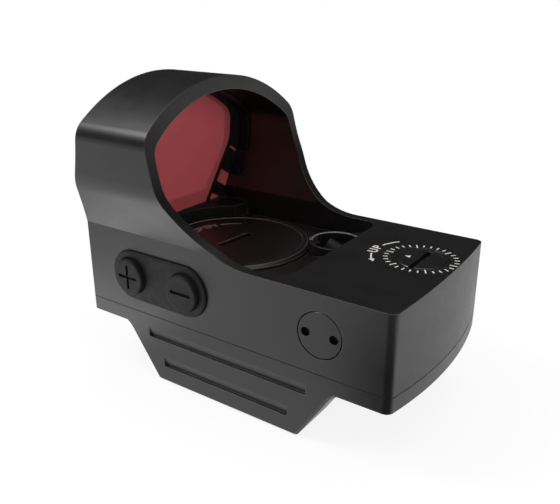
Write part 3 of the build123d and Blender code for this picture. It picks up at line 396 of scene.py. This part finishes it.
# Lighter body and near-white edges: a painted highlight for the bright arc on the collar's edge.
LIP_PAINTED_HIGHLIGHT = anodised(
    "anodised_lip_painted_highlight", dark=(0.010, 0.0098, 0.0096), light=(0.014, 0.0137, 0.0135), worn_and_highlight=(0.46, 0.45, 0.44),
    edge=0.2, sharp=0.975,
)
SMALL = anodised(
    "anodised_small", dark=(0.0050, 0.0047, 0.0047), light=(0.0068, 0.0064, 0.0064),
    worn_and_highlight=(0.05, 0.048, 0.046), grain=6500.0, edge=0.1,
)
RUBBER = rubber("rubber", (0.0046, 0.0046, 0.0049), (0.0066, 0.0065, 0.0067))
FRAME_BLACK = plastic(
    "lens_frame", (0.004, 0.003, 0.0032), (0.007, 0.005, 0.005), rough=0.5, Specular_IOR_Level=0.3
)
# The cap's marks are paint dimmed and reddened: painted shade with a painted red reflection over it.
SHADED_CAP_PAINT = paint("cap_mark_painted_shade", (0.20, 0.15, 0.14), (0.06, 0.045, 0.042))
LENS_GLASS = coated_glass("coated_lens", (0.41, 0.079, 0.089), (0.43, 0.086, 0.096))
CLEAR = clear_glass("clear_glass")
WHITE_PAINT = paint("mark_white", (0.62, 0.60, 0.58), (0.22, 0.21, 0.20))
# Black, for the painted shadow in the lens frame's windows.
WINDOW_SHADOW_BLACK = plastic(
    "black_window_shadow", (0.004, 0.0035, 0.0035), (0.007, 0.006, 0.006), rough=0.36, grain=900.0,
    Specular_IOR_Level=0.3,
)
STEEL = metal("bright_steel", (0.56, 0.55, 0.54), (0.40, 0.39, 0.37))
BLACK_STEEL = metal("black_steel", (0.055, 0.053, 0.052), (0.028, 0.027, 0.027), rough=0.34)
BRASS = metal("brass", (0.62, 0.45, 0.20), (0.42, 0.28, 0.12))
MECHANISM = metal("machined_alloy", (0.42, 0.42, 0.43), (0.30, 0.30, 0.31), rough=0.34)
INSULATOR = plastic("insulator", (0.03, 0.03, 0.032), (0.05, 0.05, 0.05), rough=0.45)
CHIP = plastic("chips", (0.012, 0.012, 0.013), (0.022, 0.022, 0.022), rough=0.35)
BOARD = circuit("circuit_board")

dress(HOUSING, "housing", "mount_base", "clamp_jaw")
dress(CAP_BLACK, "battery_cap")
dress(SMALL, "spring_plug", "elevation_screw", "windage_screw", "recoil_lug")
dress(
    RUBBER, "button_pad", "lens_gasket", "cap_seal", "elevation_seal", "windage_seal", "plug_seal",
    "base_gasket",
)
dress(FRAME_BLACK, "lens_retainer", "emitter_block")
dress(LENS_GLASS, "lens")
dress(CLEAR, "emitter_window")
dress(BLACK_STEEL, "clamp_bolt_1", "clamp_bolt_2", "plate_screws")
dress(BRASS, "elevation_click_ring", "windage_click_ring", "windage_nut")
dress(MECHANISM, "windage_carriage", "elevation_lever")
dress(INSULATOR, "cell_cup", "board_pad")
dress(CHIP, "board_chips", "led_emitter")
dress(BOARD, "driver_board", "switch_board")
dress(
    STEEL, "coin_cell", "cap_contact", "cell_contact", "dome_switches", "elevation_detent", "elevation_clip",
    "windage_detent", "windage_clip", "carriage_rods", "lever_pin", "windage_spring", "elevation_spring",
    "guide_pins",
)


# ---------------------------------------------------------------- meshes


def solid_mesh(name, mesh_maker):
    """A mesh from bmesh code, with its faces turned outwards."""
    mesh = bpy.data.meshes.new(name)
    bm = bmesh.new()
    mesh_maker(bm)
    bmesh.ops.recalc_face_normals(bm, faces=bm.faces)
    bm.to_mesh(mesh)
    bm.free()
    return mesh


def add_object(name, data):
    thing = bpy.data.objects.new(name, data)
    bpy.context.collection.objects.link(thing)
    return thing


def final_mesh(thing):
    """A new mesh of an object as its modifiers or its font leave it."""
    bpy.context.view_layer.update()
    return bpy.data.meshes.new_from_object(thing.evaluated_get(bpy.context.evaluated_depsgraph_get()))


def piece(name, mesh_maker, material, body, slot):
    """A new mesh object from bmesh code, in the part's frame, riding on a body."""
    mesh = solid_mesh(name, mesh_maker)
    mesh.materials.append(material)
    thing = add_object(name, mesh)
    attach(thing, body)


def bridge(bm, first, second):
    """A closed band of faces between two rings of as many points."""
    count = len(first)
    for i in range(count):
        after = (i + 1) % count
        bm.faces.new((first[i], first[after], second[after], second[i]))


def prism(bm, outline, place, low, high):
    """A flat plate with that outline in its own X-Y, from low to high, put in place by a matrix."""
    bottom = [bm.verts.new(place @ Vector((x, y, low))) for x, y in outline]
    top = [bm.verts.new(place @ Vector((x, y, high))) for x, y in outline]
    bm.faces.new(bottom[::-1])
    bm.faces.new(top)
    bridge(bm, bottom, top)


def polar(radius, angle):
    return radius * math.cos(math.radians(angle)), radius * math.sin(math.radians(angle))


def mark(bm, outline, place):
    """A mark that stands a little proud of the face it is on."""
    prism(bm, outline, place, -MARK_SUNK * MM, MARK_THICK * MM)


def tick(bm, place, angle, inner, outer, width):
    """A straight mark that points at the middle of the dial."""
    half = width / 2 * MM
    corners = [(inner * MM, -half), (outer * MM, -half), (outer * MM, half), (inner * MM, half)]
    mark(bm, corners, place @ Matrix.Rotation(math.radians(angle), 4, "Z"))


def arc_band(bm, place, radius, start, end, width):
    """A thin curved stroke about the middle of the dial."""
    inner, outer = (radius - width / 2) * MM, (radius + width / 2) * MM
    for i in range(ARC_STEPS):
        first = start + (end - start) * i / ARC_STEPS
        second = start + (end - start) * (i + 1) / ARC_STEPS
        corners = [polar(inner, first), polar(outer, first), polar(outer, second), polar(inner, second)]
        mark(bm, corners, place)


def arrow_head(bm, place, radius, angle, length):
    """The point of a curved arrow; length is in degrees along the arc."""
    inner, outer = (radius - ARROW_HALF) * MM, (radius + ARROW_HALF) * MM
    corners = [polar(inner, angle), polar(outer, angle), polar(radius * MM, angle + length)]
    mark(bm, corners, place)


def letters(name, text, place, radius, angles, height, material, body, slot):
    """Letters one by one along an arc, their feet towards the middle of the dial."""
    parts = []
    for letter, angle in zip(text, angles):
        curve = bpy.data.curves.new("letter", "FONT")
        curve.body = letter
        curve.size = height * MM / FONT_CAPITAL
        curve.align_x = "CENTER"
        curve.align_y = "CENTER"
        curve.extrude = (MARK_THICK + MARK_SUNK) * MM / 2
        curve.offset = LETTER_SWELL * MM
        curve.resolution_u = LETTER_STEPS
        carrier = add_object("letter", curve)
        mesh = final_mesh(carrier)
        lift = Matrix.Translation((0.0, radius * MM, (MARK_THICK - MARK_SUNK) / 2 * MM))
        mesh.transform(place @ Matrix.Rotation(math.radians(angle - 90.0), 4, "Z") @ lift)
        parts.append(mesh)
        bpy.data.objects.remove(carrier)

    def merge(bm):
        for part in parts:
            bm.from_mesh(part)
        bmesh.ops.remove_doubles(bm, verts=bm.verts, dist=SAME_LETTER_POINT)

    piece(name, merge, material, body, slot)


# ---------------------------------------------------------------- marks

rim_low, rim_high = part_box("elevation_screw")
wind_low, wind_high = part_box("windage_screw")
cap_low, cap_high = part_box("battery_cap")
SIDE_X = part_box("mount_base")[1].x
DECK_Z = DECK_HEIGHT * MM
DIAL = Vector(((rim_low.x + rim_high.x) / 2, (rim_low.y + rim_high.y) / 2, DECK_Z))
WINDAGE_DIAL = Vector((SIDE_X, (wind_low.y + wind_high.y) / 2, (wind_low.z + wind_high.z) / 2))
CAP = Vector(((cap_low.x + cap_high.x) / 2, (cap_low.y + cap_high.y) / 2, cap_high.z - CAP_RIM_RISE * MM))

# The face that each group of marks lies on; on the right side a mark's up is the part's up
DECK_PLACE = Matrix.Translation(DIAL)
SIDE_PLACE = (
    Matrix.Translation(WINDAGE_DIAL) @ Matrix.Rotation(QUARTER, 4, "Y") @ Matrix.Rotation(QUARTER, 4, "Z")
)
CAP_PLACE = Matrix.Translation(CAP)


def dial_ticks(place):
    """Marks round a dial, some of them long."""

    def make(bm):
        for i in range(TICK_COUNT):
            length = TICK_SHORT if i % TICK_LONG_EVERY else TICK_LONG
            angle = TICK_FIRST + 360.0 / TICK_COUNT * i
            tick(bm, place, angle, TICK_OUTER_R - length, TICK_OUTER_R, TICK_WIDTH)

    return make


def turn_arrow(place, line, shaft):
    """A curved line, a gap for the word, and a curved arrow, all round a dial."""

    def make(bm):
        arc_band(bm, place, LEGEND_R, *line, ARROW_WIDTH)
        arc_band(bm, place, LEGEND_R, *shaft, ARROW_WIDTH)
        arrow_head(bm, place, LEGEND_R, shaft[1] - ARROW_OVERLAP, ARROW_LENGTH)

    return make


def open_arrow(bm):
    """The curved arrow beside the cap's word."""
    arc_band(bm, CAP_PLACE, CAP_LEGEND_R, CAP_ARROW_FROM, CAP_ARROW_TO, CAP_ARROW_WIDTH)
    arrow_head(bm, CAP_PLACE, CAP_LEGEND_R, CAP_ARROW_TO - ARROW_OVERLAP, CAP_ARROW_LENGTH)


def index_mark(bm):
    """The small triangle on the elevation screw, forward of its slot."""
    top = Matrix.Translation((DIAL.x, DIAL.y + INDEX_FORWARD * MM, rim_high.z))
    mark(bm, [(x * MM, y * MM) for x, y in INDEX_OUTLINE], top)


ON_HOUSING = (WHITE_PAINT, "housing", "anodised_body")
ON_CAP = (SHADED_CAP_PAINT, "battery_cap", "anodised_body")

piece("elevation_ticks", dial_ticks(DECK_PLACE), *ON_HOUSING)
piece("elevation_up_arrow", turn_arrow(DECK_PLACE, (50.0, 76.0), (107.0, 126.0)), *ON_HOUSING)
letters("elevation_up", "UP", DECK_PLACE, LEGEND_R, (98.0, 86.0), LEGEND_HEIGHT, *ON_HOUSING)
piece("elevation_index", index_mark, WHITE_PAINT, "elevation_screw", "anodised_small")
piece("windage_ticks", dial_ticks(SIDE_PLACE), *ON_HOUSING)
piece("windage_arrow", turn_arrow(SIDE_PLACE, (-35.0, -10.0), (10.0, 33.0)), *ON_HOUSING)
letters("windage_right", "R", SIDE_PLACE, LEGEND_R, (0.0,), LEGEND_HEIGHT, *ON_HOUSING)
piece("cap_open_arrow", open_arrow, *ON_CAP)
letters("cap_open", "OPEN", CAP_PLACE, CAP_LEGEND_R, (93.5, 84.5, 76.0, 67.0), CAP_LEGEND_HEIGHT, *ON_CAP)


# ---------------------------------------------------------------- seam, painted window shadow, rims and collar


def seam_line(bm):
    """The edge of the base gasket, a thin dark band round the joint of body and plate."""
    top = max(v.co.z for v in NODES["mount_base"].data.vertices)
    rim = [v.co.to_2d() for v in NODES["mount_base"].data.vertices if v.co.z > top - SAME_POINT]
    outline = [rim[i] for i in convex_hull_2d(rim)]
    count = len(outline)
    rings = []
    for grow, height in ((SEAM_PROUD, -0.5), (SEAM_PROUD, 0.5), (-SEAM_SUNK, 0.5), (-SEAM_SUNK, -0.5)):
        ring = []
        for i, point in enumerate(outline):
            along = (outline[(i + 1) % count] - outline[i - 1]).normalized()
            out = Vector((along.y, -along.x))
            if out.dot(point) < 0.0:
                out = -out
            place = point + out * grow * MM
            ring.append(bm.verts.new((place.x, place.y, top + height * SEAM_HEIGHT * MM)))
        rings.append(ring)
    for i, ring in enumerate(rings):
        bridge(bm, ring, rings[(i + 1) % len(rings)])


def window_shadows(bm):
    """Black pieces in the highest window of each leg of the lens frame: a painted shadow in that window."""
    low, high = (Vector(p) for p in LEG)
    along = (high - low).normalized()
    out = Vector((along.y, -along.x))
    back = Vector((0.0, -math.cos(LENS_LEAN), -math.sin(LENS_LEAN)))
    seat = Matrix.Translation((0.0, LENS_REAR_Y * MM, DECK_Z))
    ends = ((WINDOW_SHADOW_FROM, WINDOW_SHADOW_IN), (WINDOW_SHADOW_TO, WINDOW_SHADOW_IN), (WINDOW_SHADOW_TO, WINDOW_SHADOW_OUT), (WINDOW_SHADOW_FROM, WINDOW_SHADOW_OUT))
    corners = [(low + along * reach + out * step) * MM for reach, step in ends]
    for side in (-1.0, 1.0):
        across = Vector((side, 0.0, 0.0))
        turn = Matrix((across, back.cross(Vector((1.0, 0.0, 0.0))), back)).transposed().to_4x4()
        prism(bm, corners, seat @ turn, 0.0, WINDOW_SHADOW_THICK * MM)


def pin_rims(bm):
    """The rims of the two spanner holes in the plug."""
    low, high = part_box("spring_plug")
    middle = (low + high) / 2
    section = [polar(RIM_SIZE, angle) for angle in range(0, 360, 45)]
    for side in (-1.0, 1.0):
        centre_y = middle.y + side * PIN_REACH * MM
        loops = []
        for i in range(RIM_STEPS):
            y, z = polar(1.0, 360.0 / RIM_STEPS * i)
            loop = []
            for across, up in section:
                ring = (RIM_R + across) * MM
                x = low.x - up * RIM_RISE * MM
                loop.append(bm.verts.new((x, centre_y + ring * y, middle.z + ring * z)))
            loops.append(loop)
        for i, loop in enumerate(loops):
            bridge(bm, loop, loops[(i + 1) % RIM_STEPS])


def collar_lip(bm):
    """The rounded lip on the right and forward side of the collar round the emitter, lighter with a painted
    highlight.
    """
    low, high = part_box("emitter_block")
    middle = Vector(((low.x + high.x) / 2, WELL_Y * MM, WELL_TOP_Z * MM))
    section = [polar(LIP_WIDTH / 2, angle) for angle in range(0, 181, 20)]
    loops = []
    for i in range(LIP_STEPS + 1):
        angle = LIP_START + (LIP_END - LIP_START) * i / LIP_STEPS
        loop = []
        for across, up in section:
            x, y = polar((LIP_R + across) * MM, angle)
            loop.append(bm.verts.new(middle + Vector((x, y, up * LIP_RISE / LIP_WIDTH * 2 * MM))))
        loops.append(loop)
    for first, second in zip(loops, loops[1:]):
        bridge(bm, first, second)
    bm.faces.new(loops[0])
    bm.faces.new(loops[-1][::-1])


piece("seam_line", seam_line, RUBBER, "housing", "rubber")
piece("lens_window_shadows", window_shadows, WINDOW_SHADOW_BLACK, "housing", "rubber")
piece("plug_pin_rims", pin_rims, SMALL, "housing", "anodised_small")
piece("emitter_collar_lip", collar_lip, LIP_PAINTED_HIGHLIGHT, "housing", "anodised_body")


# ---------------------------------------------------------------- keys


def sign_outline(arms):
    """The outline of a minus sign, or of a plus sign where it has four arms."""
    half, width = KEY_SIGN / 2 * MM, KEY_SIGN_WIDTH / 2 * MM
    if arms == 2:
        return [(-half, -width), (half, -width), (half, width), (-half, width)]
    return [
        (-half, -width), (-width, -width), (-width, -half), (width, -half), (width, -width), (half, -width),
        (half, width), (width, width), (width, half), (-width, half), (-width, width), (-half, width),
    ]


def carved_key(node, arms):
    """A copy of a key with its sign cut into its face, in place of the plain CAD key."""
    low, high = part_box(node)
    middle = (low + high) / 2
    mesh = NODES[node].data.copy()
    mesh.name = node + "_carved"
    thing = add_object(node + "_carved", mesh)
    mesh.materials.clear()
    mesh.materials.append(RUBBER)

    face = Matrix.Translation((low.x, middle.y, middle.z)) @ Matrix.Rotation(QUARTER, 4, "Y")
    turn = Matrix.Rotation(QUARTER, 4, "Z")

    def make_cutter(bm):
        prism(bm, sign_outline(arms), face @ turn, -KEY_CUTTER_OUT * MM, KEY_SIGN_DEPTH * MM)

    cutter = add_object("cutter", solid_mesh("cutter", make_cutter))
    weld = thing.modifiers.new("weld", "WELD")
    weld.merge_threshold = SAME_POINT
    cut = thing.modifiers.new("cut", "BOOLEAN")
    cut.operation = "DIFFERENCE"
    cut.solver = "EXACT"
    cut.object = cutter
    done = final_mesh(thing)
    thing.modifiers.clear()
    thing.data = done
    bpy.data.objects.remove(cutter)
    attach(thing, node)
    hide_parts(node)


carved_key("plus_key", 4)
carved_key("minus_key", 2)


# ---------------------------------------------------------------- stage


def seen_rays(tree):
    """1 for the rays that show a background: camera, glossy and transmission rays."""
    light_path = add_node(tree, "LightPath")
    total = light_path.outputs["Is Camera Ray"]
    for name in ("Is Glossy Ray", "Is Transmission Ray"):
        total = add_maths(tree, "MAXIMUM", total, light_path.outputs[name])
    return total


def mix_shaders(tree, factor, first, second, out):
    """Mixes two shader nodes into the output node."""
    mix = add_node(tree, "MixShader")
    tree.links.new(factor, mix.inputs["Fac"])
    tree.links.new(first.outputs[0], mix.inputs[1])
    tree.links.new(second.outputs[0], mix.inputs[2])
    tree.links.new(mix.outputs[0], out.inputs["Surface"])


def floor_material():
    """Pale matt paper that seen rays find white, but for a share near the object, which keeps its shadow."""
    material = bpy.data.materials.new("floor")
    material.use_nodes = True
    tree = material.node_tree
    tree.nodes.clear()
    out = add_node(tree, "OutputMaterial")
    matt = add_node(tree, "BsdfDiffuse")
    glow = add_node(tree, "Emission", Strength=1.0)
    paper = add_node(tree, "TexNoise", Scale=60.0)
    shade = add_node(tree, "ValToRGB")
    for stop, level in zip(shade.color_ramp.elements, (FLOOR_DARK, FLOOR_LIGHT)):
        stop.color = (level, level, level, 1.0)
    tree.links.new(paper.outputs["Fac"], shade.inputs["Fac"])
    tree.links.new(shade.outputs["Color"], matt.inputs["Color"])
    reach = add_node(tree, "VectorMath")
    reach.operation = "LENGTH"
    tree.links.new(add_node(tree, "TexCoord").outputs["Object"], reach.inputs[0])
    fade = add_spread(tree, reach.outputs["Value"], *FLOOR_GLOW, *FLOOR_FADE)
    mix_shaders(tree, add_maths(tree, "MULTIPLY", seen_rays(tree), fade), matt, glow, out)
    return material


def stage_floor():
    size = FLOOR_REACH
    z = CAD_BOX[0].z - FLOOR_BELOW
    mesh = bpy.data.meshes.new("floor")
    corners = [(-size, -size, z), (size, -size, z), (size, size, z), (-size, size, z)]
    mesh.from_pydata(corners, [], [(0, 1, 2, 3)])
    mesh.materials.append(floor_material())
    floor = add_object("floor", mesh)


def studio_world():
    """An even pale room for diffuse light, and plain white where the background shows."""
    world = bpy.data.worlds.new("studio")
    world.use_nodes = True
    bpy.context.scene.world = world
    tree = world.node_tree
    tree.nodes.clear()
    out = add_node(tree, "OutputWorld")
    room = add_node(tree, "Background", Color=(ROOM_LEVEL, ROOM_LEVEL, ROOM_LEVEL, 1.0))
    paper = add_node(tree, "Background", Color=(1.0, 1.0, 1.0, 1.0))
    mix_shaders(tree, seen_rays(tree), room, paper, out)


def dark_stage(name, mesh_maker, weave):
    """A black cloth that only reflections see, so that black metal stays black."""
    mesh = bpy.data.meshes.new(name)
    bm = bmesh.new()
    mesh_maker(bm)
    bm.to_mesh(mesh)
    bm.free()
    finish = Finish(name, IOR=1.3, Specular_IOR_Level=0.0)
    cloth = finish.noise(weave)
    mesh.materials.append(finish.surface(finish.mix(cloth, CLOTH_DARK, CLOTH_LIGHT)))
    thing = add_object(name, mesh)
    thing.visible_camera = False
    thing.visible_diffuse = False
    thing.visible_transmission = False
    thing.visible_shadow = False
    return thing


def ring_of_panels(bm):
    """Upright panels all round the object."""
    rows = []
    for elevation in (PANEL_LOW, PANEL_HIGH):
        height = PANEL_REACH * math.tan(math.radians(elevation))
        ring = [polar(PANEL_REACH, 360.0 / PANEL_COUNT * i) for i in range(PANEL_COUNT)]
        rows.append([bm.verts.new((x, y, height)) for x, y in ring])
    bridge(bm, *rows)


def round_cloth(bm):
    ring = [polar(CLOTH_R, 360.0 / CLOTH_SIDES * i) for i in range(CLOTH_SIDES)]
    bm.faces.new([bm.verts.new((x, y, 0.0)) for x, y in ring])


def square_lamp(name, size, power):
    lamp = bpy.data.lights.new(name, "AREA")
    lamp.shape = "SQUARE"
    lamp.size = size
    lamp.energy = power
    return add_object(name, lamp)


def softbox(name, towards, distance, size, power):
    """A square soft lamp that looks at the object from a direction."""
    thing = square_lamp(name, size, power)
    direction = Vector(towards).normalized()
    thing.location = direction * distance + Vector(LAMP_AIM)
    thing.rotation_euler = direction.to_track_quat("Z", "Y").to_euler()
    return thing


def floor_lamp(name, x, y, size, power):
    """A weak square lamp that lies on the floor and faces up, for the lower side of the object near it."""
    thing = square_lamp(name, size, power)
    thing.location = (x, y, CAD_BOX[0].z + FLOOR_LAMP_ABOVE)
    thing.rotation_euler = (math.pi, 0.0, 0.0)
    thing.visible_camera = False


def studio_camera():
    azimuth, elevation, roll = (math.radians(v) for v in (CAMERA_AZIMUTH, CAMERA_ELEVATION, CAMERA_ROLL))
    flat = math.cos(elevation)
    back = Vector((math.sin(azimuth) * flat, -math.cos(azimuth) * flat, math.sin(elevation)))
    right = (-back).cross(Vector((0.0, 0.0, 1.0))).normalized()
    up = right.cross(-back)
    across = math.cos(roll) * right + math.sin(roll) * up
    above = -math.sin(roll) * right + math.cos(roll) * up
    data = bpy.data.cameras.new("camera")
    data.lens = CAMERA_LENS
    data.sensor_width = CAMERA_SENSOR
    data.clip_start = CAMERA_FROM
    data.clip_end = CAMERA_TO
    thing = add_object("camera", data)
    turn = Matrix((across, above, back)).transposed().to_4x4()
    thing.matrix_world = Matrix.Translation(Vector(CAMERA_AT) * MM) @ turn
    bpy.context.scene.camera = thing


stage_floor()
studio_world()
dark_stage("dark_panels", ring_of_panels, weave=30.0)
softbox("shoulder_box", towards=(-0.34, 0.52, 0.75), distance=0.42, size=0.16, power=0.8)
softbox("top_box", towards=(0.1, -0.15, 1.0), distance=0.5, size=0.30, power=0.25)
fill = softbox("rear_box", towards=(-0.12, -1.0, 0.34), distance=0.5, size=0.24, power=0.85)
fill.visible_glossy = False
floor_lamp("side_card", x=-0.031, y=0.041, size=0.030, power=0.0026)
card = dark_stage("dark_card", round_cloth, weave=90.0)
card.location = (*CLOTH_AT, CAD_BOX[0].z + CLOTH_ABOVE)
studio_camera()
bpy.context.scene.view_settings.view_transform = "Standard"
